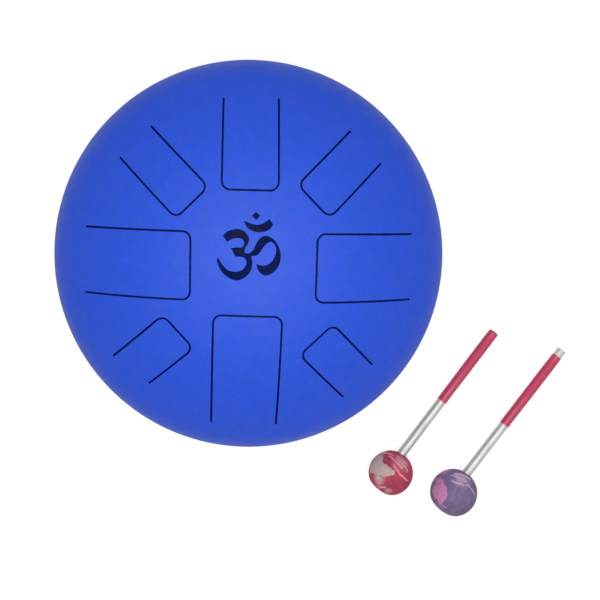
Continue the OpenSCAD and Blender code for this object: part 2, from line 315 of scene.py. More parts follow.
def add(tree, kind, *values, **settings):
    """Adds a node with its inputs and settings.

    A kind in capitals is an operation of the Math node. A Mix node mixes colours if nothing else is set.
    """
    if kind.isupper():
        kind, settings["operation"] = "ShaderNodeMath", kind
    elif kind == MIX:
        settings.setdefault("data_type", "RGBA")
    node = tree.nodes.new(kind)
    for name, value in settings.items():
        setattr(node, name, value)
    return fill(tree, node, *values)


def new_tree(name, sizes, outputs=("Geometry",)):
    """A geometry tree, what adds a node to it, and its inputs by name, where None stands for a material."""
    tree = bpy.data.node_groups.new(name, "GeometryNodeTree")
    kinds = {float: "NodeSocketFloat", int: "NodeSocketInt", type(None): "NodeSocketMaterial"}
    if "Geometry" in outputs:
        tree.is_modifier = True
        tree.interface.new_socket("Geometry", in_out="INPUT", socket_type="NodeSocketGeometry")
    for label, value in sizes.items():
        socket = tree.interface.new_socket(label, in_out="INPUT", socket_type=kinds[type(value)])
        if value is not None:
            socket.default_value = value
    for label in outputs:
        kind = "NodeSocketGeometry" if label == "Geometry" else "NodeSocketFloat"
        tree.interface.new_socket(label, in_out="OUTPUT", socket_type=kind)
    return tree, partial(add, tree), tree.nodes.new("NodeGroupInput").outputs


def settle(obj):
    """Turns an object and its modifiers into a plain mesh."""
    graph = bpy.context.evaluated_depsgraph_get()
    graph.update()
    mesh = bpy.data.meshes.new_from_object(
        obj.evaluated_get(graph), preserve_all_data_layers=True, depsgraph=graph
    )
    old, obj.data = obj.data, mesh
    obj.modifiers.clear()
    bpy.data.meshes.remove(old)
    mesh.name = obj.name
    return obj


def place(name, points, faces):
    """A new object in the scene with a mesh of these points and faces."""
    mesh = bpy.data.meshes.new(name)
    mesh.from_pydata(np.asarray(points, float).tolist(), [], [list(map(int, f)) for f in faces])
    obj = bpy.data.objects.new(name, mesh)
    bpy.context.scene.collection.objects.link(obj)
    return obj


def end_tree(node, whole, *finishes):
    """Ends a tree with the whole as one mesh, and with (selection, material) for each of its finishes."""
    whole = node("GeometryNodeRealizeInstances", whole)
    for selection, finish in finishes:
        whole = node("GeometryNodeSetMaterial", whole, selection, finish)
    node("NodeGroupOutput", {"Geometry": whole})


def grow(obj, name, build, sizes):
    """Runs a tree on an object, with its inputs by name, and keeps the result as its plain mesh."""
    tree = bpy.data.node_groups.get(name) or build()
    modifier = obj.modifiers.new(name, "NODES")
    modifier.node_group = tree
    for item in tree.interface.items_tree:
        if item.in_out == "INPUT" and item.name in sizes:
            modifier[item.identifier] = sizes[item.name]
    return settle(obj)


def face_outwards(obj, reach=MERGE / 2):
    """Merges points within reach and turns every face of a closed piece outwards."""
    bm = bmesh.new()
    bm.from_mesh(obj.data)
    bmesh.ops.remove_doubles(bm, verts=bm.verts, dist=reach)
    bmesh.ops.recalc_face_normals(bm, faces=bm.faces)
    bm.to_mesh(obj.data)
    bm.free()
    return obj


def smooth(obj, angle=35):
    """Shades a piece smooth, with sharp edges where its faces meet at more than an angle."""
    obj.data.shade_smooth()
    obj.data.set_sharp_from_angle(angle=math.radians(angle))
    return obj


class Dome:
    """One shell's shape: a crown that runs smoothly into a shoulder, and a straight band down to the rim."""

    def __init__(self, height, shoulder, up):
        self.height, self.shoulder, self.up = height, shoulder, up
        h, s = height - BAND, shoulder
        self.ring = DRUM_R - s
        self.crown = (h * h + self.ring**2 - s * s) / (2 * (h - s))
        self.tangent = self.crown * self.ring / (self.crown - s)
        self.start = math.asin((self.tangent - self.ring) / s)
        self.arc = s * (QUARTER - self.start)
        self.reach = self.tangent + self.arc + BAND

    def sizes(self):
        """The shape's sizes, by the names of the inputs that take them."""
        return {
            "Tangent Radius": self.tangent, "Shoulder Ring": self.ring, "Shoulder Radius": self.shoulder,
            "Shoulder Length": self.arc, "Crown Radius": self.crown, "Band": BAND, "Height": self.height,
            "Sheet": SHEET, "Bevel": BEVEL, "Rim Height": WELD_Z, "Up": float(self.up),
        }

    def rise(self, d):
        """Height of the outer face above the floor, at distance d from the axis, on the crown."""
        return WELD_Z + self.up * (self.height - self.crown + math.sqrt(self.crown**2 - d * d))

    def normals(self, points):
        """Outward directions of the outer face at points on it."""
        d = np.maximum(np.hypot(points[:, 0], points[:, 1]), 1e-9)
        z = (points[:, 2] - WELD_Z) * self.up
        on_crown = d <= self.tangent
        out = np.where(on_crown, d, np.maximum(d - self.ring, 0))
        rise = np.where(on_crown, z - (self.height - self.crown), np.maximum(z - BAND, 0))
        across = points[:, :2] / d[:, None] * out[:, None]
        return np.column_stack([across, rise * self.up]) / np.hypot(out, rise)[:, None]

    def off_face(self, points, depth):
        """How far points lie from the outer face, or from the inner one at the sheet's depth."""
        d, z = np.hypot(points[:, 0], points[:, 1]), (points[:, 2] - WELD_Z) * self.up
        crown = np.abs(np.hypot(d, z - (self.height - self.crown)) - self.crown + depth)
        shoulder = np.abs(np.hypot(d - self.ring, np.maximum(z - BAND, 0)) - self.shoulder + depth)
        return np.where(d <= self.tangent, crown, shoulder)


TOP = Dome(TOP_H, TOP_SHOULDER, 1)
BOTTOM = Dome(BOTTOM_H, BOTTOM_SHOULDER, -1)


def arc(x, y, r, start, end, count):
    """Points along an arc, from one angle to another in degrees."""
    return [
        (x + r * math.cos(math.radians(a)), y + r * math.sin(math.radians(a)))
        for a in np.linspace(start, end, count)
    ]


def spaced(a, b, step):
    """Points from a to b, without b, at most a step apart."""
    a, b = np.asarray(a, float), np.asarray(b, float)
    count = max(1, math.ceil(np.linalg.norm(b - a) / step))
    return [a + (b - a) * i / count for i in range(count)]


def along_tongue(k, points):
    """Plan points of a tongue, from out and across its own direction to the drum's frame."""
    turn = math.radians(TONGUE_TURNS[k])
    p = np.asarray(points, float) + (0, TONGUE_SIDE_SHARES[k] * DRUM_R)
    return p @ np.array([[math.cos(turn), math.sin(turn)], [-math.sin(turn), math.cos(turn)]])


def root_at(k, across):
    """Distance of a tongue's root from the axis, along its direction and across it to the left."""
    left, right = (share * DRUM_R for share in TONGUE_ROOT_SHARES[k])
    return (left + right) / 2 + (left - right) * across / (TONGUE_WIDTH_SHARES[k] * DRUM_R)


def tongue_outline(k, wide, step):
    """Closed outline of a tongue, or of its opening in the shell where it is wide, from its root round it."""
    half = TONGUE_WIDTH_SHARES[k] * DRUM_R / 2
    inner, grown = half - SLIT / 2, SLIT / 2 if wide else -SLIT / 2
    tip, half, r = TONGUE_TIP_SHARES[k] * DRUM_R - grown, half + grown, CORNER_R + grown
    turns = [math.radians(a) for a in range(0, 90, 9)]
    points = spaced((root_at(k, half), half), (tip + r, half), step)
    points += [np.array((tip + r - r * math.sin(a), half - r + r * math.cos(a))) for a in turns]
    points += spaced((tip, half - r), (tip, r - half), step)
    points += [np.array((tip + r - r * math.cos(a), r - half - r * math.sin(a))) for a in turns]
    points += spaced((tip + r, -half), (root_at(k, -half), -half), step)
    if wide:
        points += [np.array((root_at(k, -half), -half))]
    points += spaced((root_at(k, -inner), -inner), (root_at(k, inner), inner), step)
    if wide:
        points += [np.array((root_at(k, inner), inner))]
    return along_tongue(k, points)


def figure_outline(stretches):
    """Closed outline of a part of the sound hole, in plan."""
    points, last = [], stretches[-1][-1]
    for stretch in stretches:
        p = np.array((last, *stretch)) / 1000
        last = stretch[-1]
        for i in range(len(p) - 1):
            into = (p[i + 1] - p[i - 1]) / 2 if i > 0 else p[1] - p[0]
            out = (p[i + 2] - p[i]) / 2 if i < len(p) - 2 else p[i + 1] - p[i]
            for t in [step / CURVE_STEPS for step in range(CURVE_STEPS)] if len(p) > 2 else [0]:
                points.append(
                    p[i] * (2 * t**3 - 3 * t * t + 1) + into * (t**3 - 2 * t * t + t)
                    + p[i + 1] * (3 * t * t - 2 * t**3) + out * (t**3 - t * t)
                )
    outline = np.array(points) * FIGURE_W + FIGURE_AT
    along = np.roll(outline, -1, 0) - np.roll(outline, 1, 0)
    inwards = np.stack([along[:, 1], -along[:, 0]], 1) / np.hypot(*along.T)[:, None]
    return outline + CUT_COAT * inwards


def inside(points, outline):
    """Which points lie inside a closed outline."""
    found = np.zeros(len(points), bool)
    near = np.all((points >= outline.min(0)) & (points <= outline.max(0)), 1)
    x, y = points[near].T
    odd = np.zeros(len(x), bool)
    for (x0, y0), (x1, y1) in zip(outline, np.roll(outline, -1, 0)):
        if y0 != y1:
            odd ^= ((y0 > y) != (y1 > y)) & (x < (x1 - x0) * (y - y0) / (y1 - y0) + x0)
    found[near] = odd
    return found


def flat_sheet(dome, outlines, step, rim_points):
    """Points and triangles of a shell's sheet laid out flat, with edges along every outline.

    A point's distance from the middle is its plan radius on the crown, and runs on along the shoulder and the
    band. The points are in rings, closer together on the shoulder, and none of these is near an outline.
    """
    points, edges = [], []
    for outline in outlines:
        first, count = len(points), len(outline)
        points += list(outline)
        edges += [(first + i, first + (i + 1) % count) for i in range(count)]
    tree = kdtree.KDTree(max(1, len(points)))
    for i, p in enumerate(points):
        tree.insert((*p, 0), i)
    tree.balance()
    radii = list(np.linspace(0, dome.tangent, math.ceil(dome.tangent / step) + 1))
    radii += list(np.linspace(dome.tangent, dome.reach - BAND, math.ceil(dome.arc / (0.8 * step)) + 1)[1:])
    radii += [dome.reach]
    for i, r in enumerate(radii):
        count = 1 if r == 0 else min(rim_points, round(2 * math.pi * r / step))
        turns = (np.arange(count) + (i % 2) / 2) * 2 * math.pi / count
        ring = np.stack([r * np.cos(turns), r * np.sin(turns)], 1)
        points += [p for p in ring if not outlines or tree.find((*p, 0))[2] > 0.55 * step]
    found = delaunay_2d_cdt([Vector(p) for p in points], edges, [], 0, 1e-7)
    return np.array([tuple(p) for p in found[0]]), np.array(found[2])


def dome_meridian_tree():
    """Where a point of the flat sheet goes: its distance from the axis and its height over the rim."""
    names = (
        "Flat Radius", "Tangent Radius", "Shoulder Ring", "Shoulder Radius", "Crown Radius", "Band", "Height",
        "Turn", "Drop",
    )
    tree, node, size = new_tree("Dome Meridian", dict.fromkeys(names, 0.0), ("Radius", "Rise"))
    flat, tangent, ring, shoulder, crown, band, height, turn, drop = (size[name] for name in names)
    start = node("ARCSINE", node("DIVIDE", node("SUBTRACT", tangent, ring), shoulder))
    turn = node("MULTIPLY_ADD", node("SUBTRACT", QUARTER, start), turn, start)
    across = node("MULTIPLY_ADD", node("SINE", turn), shoulder, ring)
    up = node("SUBTRACT", node("MULTIPLY_ADD", node("COSINE", turn), shoulder, band), drop)
    square = node("SUBTRACT", node("POWER", crown, 2.0), node("POWER", flat, 2.0))
    rise = node("SUBTRACT", node("ADD", node("SQRT", square), height), crown)
    past = node("GREATER_THAN", flat, tangent)
    across = node(MIX, past, flat, across, data_type="FLOAT")
    up = node(MIX, past, rise, up, data_type="FLOAT")
    node("NodeGroupOutput", {"Radius": across, "Rise": up})
    return tree


def pressed_sheet_tree():
    """Presses a flat sheet into its dome: an outer face, an inner face below it, and walls along each cut."""
    tree, node, size = new_tree("Pressed Sheet", TOP.sizes() | {"Coat": None, "Inside": None})
    meridian = dome_meridian_tree()
    flat = node("GeometryNodeInputNamedAttribute", "flat", data_type="FLOAT_VECTOR")
    radius, way = (node(VECTOR, flat, operation=kind) for kind in ("LENGTH", "NORMALIZE"))
    past = node("MAXIMUM", node("SUBTRACT", radius, size["Tangent Radius"]), 0.0)
    turn = node("MINIMUM", node("DIVIDE", past, size["Shoulder Length"]), 1.0)
    drop = node("MAXIMUM", node("SUBTRACT", past, size["Shoulder Length"]), 0.0)
    short = node("MINIMUM", drop, node("SUBTRACT", size["Band"], size["Bevel"]))
    places = []
    for depth, drop in ((0.0, short), (size["Sheet"], drop)):
        sizes = {label: size[label] for label in ("Tangent Radius", "Shoulder Ring", "Band")}
        for label in ("Shoulder Radius", "Crown Radius", "Height"):
            sizes[label] = node("SUBTRACT", size[label], depth)
        sizes |= {"Flat Radius": radius, "Turn": turn, "Drop": drop}
        line = node("GeometryNodeGroup", sizes, node_tree=meridian)
        out = node(VECTOR, way, {"Scale": line.outputs["Radius"]}, operation="SCALE")
        rise = node("MULTIPLY_ADD", line.outputs["Rise"], size["Up"], size["Rim Height"])
        rise = node("ShaderNodeCombineXYZ", 0.0, 0.0, rise)
        places.append(node(VECTOR, out, rise, operation="ADD"))

    # The attribute "part" is 0 on the outer face, 1 on the inner one and 2 on the walls between them
    marks = {"data_type": "INT", "domain": "FACE"}
    outer = node("GeometryNodeSetPosition", size["Geometry"], None, places[0])
    inner = node("GeometryNodeSetPosition", size["Geometry"], None, places[1])
    inner = node("GeometryNodeFlipFaces", inner)
    inner = node("GeometryNodeStoreNamedAttribute", inner, None, "part", 1, **marks)
    ends = node("GeometryNodeInputMeshEdgeNeighbors")
    ends = node("FunctionNodeCompare", ends, 1, data_type="INT", operation="EQUAL")
    walls = node("GeometryNodeExtrudeMesh", outer, ends, None, 0.0, mode="EDGES")
    moved = node("GeometryNodeSetPosition", walls.outputs["Mesh"], walls.outputs["Top"], places[1])
    moved = node("GeometryNodeStoreNamedAttribute", moved, walls.outputs["Side"], "part", 2, **marks)
    whole = node("GeometryNodeJoinGeometry", [moved, inner])
    whole = node("GeometryNodeMergeByDistance", whole, {"Distance": MERGE})
    part = node("GeometryNodeInputNamedAttribute", "part", data_type="INT")
    part = node("FunctionNodeCompare", part, 1, data_type="INT", operation="EQUAL")
    end_tree(node, whole, (None, size["Coat"]), (part, size["Inside"]))
    return tree


def press(name, dome, points, faces, coat, bare, whole_edges=None):
    """A pressed sheet from its flat points and faces, with all cut edges soft but those in whole_edges."""
    used, faces = np.unique(faces, return_inverse=True)
    points = np.column_stack([points[used], np.zeros(len(used))])
    obj = place(name, points, faces.reshape(-1, 3))
    obj.data.attributes.new("flat", "FLOAT_VECTOR", "POINT").data.foreach_set("vector", points.ravel())
    grow(obj, "Pressed Sheet", pressed_sheet_tree, dome.sizes() | {"Coat": coat, "Inside": bare})
    face_outwards(obj)
    soften_cuts(obj, dome, whole_edges)
    for label in ("flat", "part"):
        obj.data.attributes.remove(obj.data.attributes[label])
    return obj


def each(items, name, width=1, kind=float):
    """A value of each of Blender's items, as an array with a row for each where it has a width."""
    found = np.zeros(len(items) * width, kind)
    items.foreach_get(name, found)
    return found.reshape(-1, width) if width > 1 else found


def corner_parts(mesh):
    """Which part of the sheet each face corner belongs to, and how many corners each face has."""
    counts = each(mesh.polygons, "loop_total", kind=np.int32)
    return np.repeat(each(mesh.attributes["part"].data, "value", kind=np.int32), counts), counts


def soften_cuts(obj, dome, whole_edges):
    """Rounds the edges between the outer face and the walls, and sets the shell's true normals."""
    mesh = obj.data
    part, _ = corner_parts(mesh)
    edge = each(mesh.loops, "edge_index", kind=np.int32)
    soft, walls = np.zeros((2, len(mesh.edges)), bool)
    soft[edge[part == 0]] = True
    walls[edge[part == 2]] = True
    points = each(mesh.vertices, "co", 3)
    ends = each(mesh.edges, "vertices", 2, np.int32)
    rim = np.abs(points[:, 2] - WELD_Z) < BEVEL + NEAR
    soft &= walls & ~(rim[ends[:, 0]] & rim[ends[:, 1]])
    if whole_edges:
        soft &= ~whole_edges(points[ends[:, 0], :2], points[ends[:, 1], :2])
    weight = mesh.attributes.new("bevel_weight_edge", "FLOAT", "EDGE")
    weight.data.foreach_set("value", soft.astype(np.float32))
    bevel = obj.modifiers.new("Cut edge", "BEVEL")
    bevel.limit_method, bevel.width, bevel.segments = "WEIGHT", bpy.context.scene.drum.cut_edge, 2
    bevel.use_clamp_overlap = False
    settle(obj)
    smooth(obj)

    mesh = obj.data
    part, counts = corner_parts(mesh)
    points = each(mesh.vertices, "co", 3)
    corners = each(mesh.loops, "vertex_index", kind=np.int32)
    true = dome.normals(points)[corners]
    lean = np.zeros((len(corners), 3))
    # Corners on the outer face, and then those on the inner one, which is coarser
    for inner, depth, reach in ((False, 0, 0.004 * MM), (True, SHEET, 0.02 * MM)):
        on_face = (dome.off_face(points, depth) < reach)[corners] & ((part == 1) == inner)
        lean[on_face] = -true[on_face] if inner else true[on_face]
    level = np.repeat(each(mesh.polygons, "normal", 3), counts, axis=0)
    lean[np.einsum("ij,ij->i", lean, level) < 0.3] = 0
    mesh.normals_split_custom_set(lean.tolist())


def turned(name, profile, steps, matrix=None, shape=None):
    """A piece turned from a profile of (distance, height) about its own z, then placed by a matrix.

    A profile that ends on the axis closes there, and any other joins its last point to its first. The shape,
    where there is one, moves each point. Where each point was before its placing stays on it as "own".
    """
    turns = np.arange(steps) * 2 * math.pi / steps
    points, rows = [], []
    for r, z in profile:
        count = 1 if r < 1e-9 else steps
        rows.append([len(points) + (i if count > 1 else 0) for i in range(steps)])
        points += [(r * math.cos(a), r * math.sin(a), z) for a in turns[:count]]
    own = np.array(points, float)
    if shape:
        own = shape(own)
    pairs = list(zip(rows, rows[1:]))
    if profile[0][0] > 1e-9:
        pairs.append((rows[-1], rows[0]))
    faces = []
    for low, high in pairs:
        for i in range(steps):
            j = (i + 1) % steps
            face = list(dict.fromkeys((low[i], low[j], high[j], high[i])))
            if len(face) > 2:
                faces.append(face)
    matrix = matrix or Matrix.Identity(4)
    obj = place(name, own @ np.array(matrix.to_3x3()).T + np.array(matrix.translation), faces)
    obj.data.attributes.new("own", "FLOAT_VECTOR", "POINT").data.foreach_set("vector", own.ravel())
    return face_outwards(obj)


def foot_circle_tree():
    """Copies a piece round the drum's axis, evenly and as often as its input says."""
    tree, node, size = new_tree("Foot Circle", {"Count": 3, "Finish": None})
    spots = node("GeometryNodePoints", size["Count"])
    turn = node("DIVIDE", 2 * math.pi, size["Count"])
    turn = node("MULTIPLY", node("GeometryNodeInputIndex"), turn)
    turn = node("ShaderNodeCombineXYZ", 0.0, 0.0, turn)
    copies = node("GeometryNodeInstanceOnPoints", spots, {"Instance": size["Geometry"], "Rotation": turn})
    end_tree(node, copies, (None, size["Finish"]))
    return tree


def weld_bead_tree():
    """A bead laid along the rim: a wedge in the groove with a rounded crown, rippled where each pool set."""
    sizes = {
        "Rim Radius": DRUM_R, "Rim Height": WELD_Z, "Bevel": BEVEL, "Bead": BEAD, "Ripple": 1.6 * MM,
        "Steps a Ripple": 6, "Steps Across": 10, "Finish": None,
    }
    tree, node, size = new_tree("Weld Bead", sizes)
    ripples = node("MULTIPLY", size["Rim Radius"], 2 * math.pi)
    ripples = node("ROUND", node("DIVIDE", ripples, size["Ripple"]))
    around = node("MULTIPLY", ripples, size["Steps a Ripple"])
    # Two more rows than the crown needs make the wedge's inner edge
    grid = node(
        "GeometryNodeMeshGrid",
        {"Size X": 1.0, "Size Y": 1.0, "Vertices X": node("ADD", around, 1.0),
         "Vertices Y": node("ADD", size["Steps Across"], 3.0)},
    )
    at = node("ShaderNodeSeparateXYZ", node("GeometryNodeInputPosition"))
    along = node("ADD", at.outputs["X"], 0.5)
    rows = node("ADD", size["Steps Across"], 2.0)
    across = node("MULTIPLY", node("ADD", at.outputs["Y"], 0.5), rows)
    crown = node("DIVIDE", node("SUBTRACT", across, 1.0), size["Steps Across"])
    crown = node("MULTIPLY_ADD", crown, 2.0, -1.0)
    inner = node("GREATER_THAN", node("ABSOLUTE", crown), 1.0001)
    square = node("MULTIPLY", crown, crown)
    phase = node("MULTIPLY_ADD", along, ripples, node("MULTIPLY", square, -RIPPLE_LAG))
    scale = node("MULTIPLY_ADD", node("FRACT", phase), -RIPPLE_DROP, 1.0)
    bulge = node("MULTIPLY", node("SUBTRACT", 1.0, square), scale)
    bulge = node("MULTIPLY", bulge, size["Bead"])
    out = node(MIX, inner, bulge, node("MULTIPLY", size["Bevel"], -1.0), data_type="FLOAT")
    out = node("ADD", out, size["Rim Radius"])
    rise = node(MIX, inner, node("MULTIPLY", crown, size["Bevel"]), 0.0, data_type="FLOAT")
    rise = node("ADD", rise, size["Rim Height"])
    turn = node("MULTIPLY", along, 2 * math.pi)
    x, y = (node("MULTIPLY", node(name, turn), out) for name in ("COSINE", "SINE"))
    ring = node("GeometryNodeSetPosition", grid, None, node("ShaderNodeCombineXYZ", x, y, rise))
    ring = node("GeometryNodeMergeByDistance", ring, {"Distance": MERGE})
    end_tree(node, ring, (None, size["Finish"]))
    return tree


def new_material(name):
    """A material, and what adds a node to it."""
    material = bpy.data.materials.new(name)
    material.use_nodes = True
    return material, partial(add, material.node_tree)


def surface(material, inputs):
    """The material, with the inputs of its surface shader."""
    fill(material.node_tree, material.node_tree.nodes["Principled BSDF"], inputs)
    return material


def object_place(node):
    """Where a point is in the object's own coordinates."""
    return node("ShaderNodeTexCoord").outputs["Object"]


def own_place(node, scale=None):
    """Where a point of a turned piece was before its placing, with z along it."""
    own = node("ShaderNodeAttribute", attribute_name="own").outputs["Vector"]
    return node("ShaderNodeMapping", {"Vector": own, "Scale": scale}) if scale else own


def coat_material(drum):
    """Powder coat, sprayed and baked: satin blue, with orange peel, specks and a faintly uneven tone."""
    material, node = new_material("Powder-coated steel, blue")
    at = object_place(node)
    cloud = node(NOISE, at, 1 / (9 * MM), 5.0, 0.7)
    tone = node(MIX, node(RANGE, cloud, 0.3, 0.7), drum.coat * 0.93, drum.coat * 1.04)
    # Dark and pale grains of the powder, coarser than they are so that they show, and a white haze
    grain = node(NOISE, at, 1 / (1.8 * MM), 2.0)
    haze = node(NOISE, at, 1 / (6 * MM), 4.0, 0.6)
    for pattern, low, high, share, code in (
        (grain, 0.6, 0.72, 0.04, "404048"),
        (grain, 0.38, 0.28, 0.025, "C8D0F0"),
        (haze, 0.35, 0.65, 0.008, "FFFFFF"),
    ):
        tone = node(MIX, node(RANGE, pattern, low, high, 0.0, share), tone, linear(code))
    roughness = node(RANGE, cloud, 0.3, 0.7, 0.54, 0.66)
    peel = node(BUMP, 0.25, 0.04 * MM, {"Height": node(NOISE, at, 1 / (1.4 * MM), 2.0)})
    return surface(material, {"Base Color": tone, "Roughness": roughness, "Normal": peel})


def inside_material(drum):
    """Inner face of the shells: grey-brown steel as rolled, under the thin dust of coat that gets inside,
    whose blue is lightened as painted light.
    """
    material, node = new_material("Steel under thin blue coat, lightened as painted light")
    at = object_place(node)
    scale = node(MIX, node(NOISE, at, 1 / (3 * MM), 5.0, 0.65), drum.inside * 0.6, drum.inside)
    # The steel is barest below the left half of the sound hole
    barest = node(VECTOR, at, (-7 * MM, 4 * MM, 8 * MM), operation="DISTANCE")
    barest = node(RANGE, barest, 6 * MM, 16 * MM, 0.14, -0.06)
    bare = node("ADD", node(NOISE, at, 1 / (17 * MM), 3.0, 0.6), barest)
    bare = node(RANGE, bare, 0.54, 0.64, 0.0, 0.7)
    # The thin coat's pale blue is much lighter than the outer coat: painted light for the dim inside seen
    # through the cuts
    return surface(material, {"Base Color": node(MIX, bare, linear("5488FF"), scale), "Roughness": 0.7})


def rubber_material():
    """Black moulded rubber: matt, with a fine bloom."""
    material, node = new_material("Moulded rubber, black")
    at = object_place(node)
    tone = node(MIX, node(NOISE, at, 1 / (3 * MM), 5.0), linear("19191A"), linear("2C2C2E"))
    grain = node(BUMP, 0.3, 0.05 * MM, {"Height": node(NOISE, at, 1 / (0.4 * MM), 2.0)})
    return surface(material, {"Base Color": tone, "Roughness": 0.7, "Normal": grain})


def zinc_material():
    """Zinc-plated steel: bright grey with a faint cloudiness."""
    material, node = new_material("Zinc-plated steel")
    cloud = node(NOISE, object_place(node), 1 / (1.5 * MM), 3.0)
    tone = node(MIX, cloud, linear("A9ADB2"), linear("C9CBCC"))
    roughness = node(RANGE, cloud, 0.3, 0.7, 0.25, 0.4)
    return surface(material, {"Base Color": tone, "Roughness": roughness, "Metallic": 1})


def aluminium_material(mallet):
    """Drawn aluminium tube: satin, with fine lines along its length and a dulled, cloudy skin."""
    material, node = new_material("Drawn aluminium")
    lines = node(NOISE, own_place(node, (1, 1, 1 / 40)), 1 / (0.5 * MM), 3.0)
    dull = node(NOISE, own_place(node, (1, 1, 1 / 4)), 1 / (2.5 * MM), 4.0, 0.6)
    tone = node(MIX, lines, mallet.tube * 0.86, mallet.tube)
    tone = node(MIX, node(RANGE, dull, 0.42, 0.68, 0.0, 0.8), tone, mallet.tube * 0.78)
    roughness = node(RANGE, dull, 0.3, 0.7, 0.52, 0.62)
    relief = node(BUMP, 0.15, 0.01 * MM, {"Height": lines})
    return surface(material, {"Base Color": tone, "Roughness": roughness, "Metallic": 1, "Normal": relief})


def sleeve_material(mallet):
    """Shrunk PVC sleeve: rose red, streaked along its length, glossier near its ends, with a painted
    highlight at its cuts.
    """
    material, node = new_material("PVC shrink sleeve, red")
    streaks = node(NOISE, own_place(node, (1, 1, 1 / 12)), 1 / (0.9 * MM), 4.0)
    cloud = node(NOISE, own_place(node, (1, 1, 1 / 3)), 1 / (4 * MM), 3.0)
    from_cut = node("ShaderNodeAttribute", attribute_name="from_cut").outputs["Fac"]
    pale = mallet.sleeve * 1.1 + Color((0.01, 0.01, 0.01))
    tone = node(MIX, node(RANGE, streaks, 0.3, 0.7), mallet.sleeve * 0.88, pale)
    tone = node(MIX, node(RANGE, cloud, 0.42, 0.7, 0.0, 0.5), tone, linear("B45064"))
    # Painted highlight: the sleeve turns pale pink within a fraction of a millimetre of each cut
    tone = node(MIX, node(RANGE, from_cut, 0.2 * MM, 0.7 * MM, 0.75, 0.0), tone, linear("EFB9C2"))
    roughness = node(RANGE, from_cut, 12 * MM, 28 * MM, 0.25, 0.6)
    return surface(material, {"Base Color": tone, "Roughness": roughness})


def strand_of(places):
    """An arc on the ball through three places: its centre, radius there, middle and half length."""
    a, b, c = (Vector(place) for place in places)
    centre = (b - a).cross(c - b).normalized() * a.length
    centre *= 1 if centre.dot(a) > 0 else -1
    return centre, (a - centre).length, b, max((a - b).length, (c - b).length)


def ball_material(name, r, colours, patches, strands, swept):
    """Rubber ball pressed from strands of several colours: satin, with a broad patch and thin curved streaks.

    The patches, the strands and the place swept are on the upper side. Fine streaks follow the first strand,
    and the rest of the ball is marbled at random.
    """
    base, dark, patch, streak = (linear(code) for code in colours)
    material, node = new_material(name)
    own = own_place(node)

    def bent(size, reach):
        """The own place, wandering by a reach."""
        wander = node(NOISE, own, 1 / size, 4.0, 0.6).outputs["Color"]
        wander = node(VECTOR, wander, (0.5, 0.5, 0.5), operation="SUBTRACT")
        return node(VECTOR, wander, (reach,) * 3, own, operation="MULTIPLY_ADD")

    def far(at, spot):
        """Distance from a spot."""
        return node(VECTOR, at, tuple(v * MM for v in spot), operation="DISTANCE")

    def within(distance, reach, soft):
        """One within a reach and zero beyond it, with a soft border."""
        return node(RANGE, distance, (reach - soft) * MM, (reach + soft) * MM, 1.0, 0.0)

    wide = node(NOISE, bent(16 * MM, 24 * MM), 1 / (9 * MM), 3.0, 0.6)
    tone = node(MIX, node(RANGE, wide, 0.35, 0.65), dark, base)
    below = node(RANGE, far(own, (-r / MM, 0, 0)), 1.2 * r, 1.4 * r)
    cover = node(RANGE, node(NOISE, bent(7 * MM, 8 * MM), 1 / (11 * MM), 2.0), 0.55, 0.59)
    cover = node("MULTIPLY", cover, below)
    at = bent(5 * MM, 3 * MM)
    for middle, radius, soft in patches:
        cover = node("MAXIMUM", cover, within(far(at, middle), radius, soft))
    cloud = node(NOISE, own, 1 / (2 * MM), 4.0, 0.6)
    shaded = node(MIX, node(RANGE, cloud, 0.35, 0.7, 0.0, 0.3), patch, tone)
    tone = node(MIX, cover, tone, shaded)

    near = far(own, swept)
    tone = node(MIX, node(RANGE, near, 3 * MM, 9 * MM, 0.25, 0.0), tone, streak)
    at, cover = bent(3 * MM, 2.2 * MM), 0.0
    for places, width in strands:
        centre, radius, middle, reach = strand_of(places)
        off = node("ABSOLUTE", node("SUBTRACT", far(at, centre), radius * MM))
        share = node("MULTIPLY", within(off, width, 0.25), within(far(at, middle), reach, 1))
        cover = node("MAXIMUM", cover, share)
    # The fine streaks are rings round the first strand's centre, thick where it is swept and thinner below
    path = node(NOISE, own, 1 / (3 * MM), 3.0, 0.6)
    path = node("MULTIPLY_ADD", path, 3 * MM, far(own, strand_of(strands[0][0])[0]))
    rings = node(NOISE, path, 1 / (0.9 * MM), 2.0, 0.6, noise_dimensions="1D")
    level = node("ADD", rings, node(RANGE, near, 3 * MM, 9 * MM, 0.12, -0.2))
    level = node("MULTIPLY_ADD", below, 0.17, level)
    cover = node("MAXIMUM", cover, node(RANGE, level, 0.58, 0.68))
    tone = node(MIX, node(RANGE, cover, 0.0, 1.0, 0.0, 0.85), tone, streak)
    relief = node(BUMP, 0.2, 0.05 * MM, {"Height": node(NOISE, own, 1 / (1.2 * MM), 3.0)})
    return surface(material, {"Base Color": tone, "Roughness": 0.75, "Normal": relief})


def finish_piece(obj, body, slot, *nodes):
    """Names the body that a piece rides on and the nodes that it stands for, which it hides; its material
    slot is not used.
    """
    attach(obj, body)
    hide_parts(*nodes)


